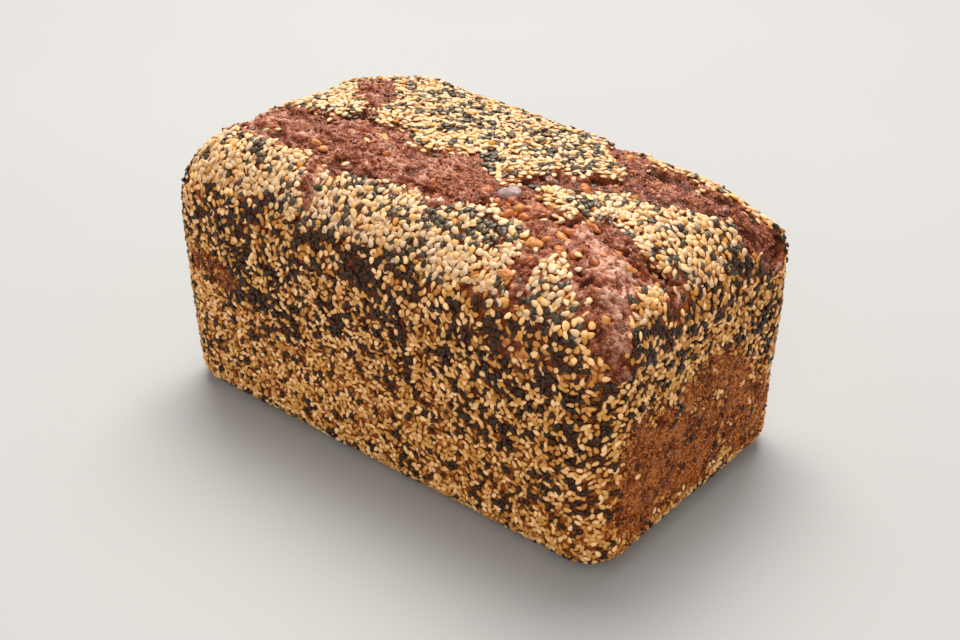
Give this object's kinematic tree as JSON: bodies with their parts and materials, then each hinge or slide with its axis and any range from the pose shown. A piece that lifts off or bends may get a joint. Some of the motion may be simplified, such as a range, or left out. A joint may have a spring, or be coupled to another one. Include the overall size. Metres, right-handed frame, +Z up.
{
  "type": "rye bread loaf",
  "caption": "Whole tin-baked rye bread loaf with upright walls and a torn, domed top, coated in pale and black sesame seeds.",
  "frame": {"origin": "middle of the flat bottom, at the centre of the bounding box seen from above", "axes": "+X along the loaf towards the end with the bare brown patch, -Y towards the long front wall, +Z up"},
  "size_m": [0.1774, 0.1054, 0.0966],
  "materials": {
    "crust": "matte browned rye crust, orange-brown on the walls and the ends",
    "torn_crust": "rough reddish-brown crumb crust of the torn channels, with a faint sheen",
    "pale_sesame": "satin toasted sesame, from ivory to golden brown",
    "black_sesame": "satin black sesame with a grey sheen",
    "grain": "glossy orange-brown pieces of grain baked into the crust"
  },
  "bodies": {
    "root": {"loaf": "crust"}
  },
  "joints": []
}
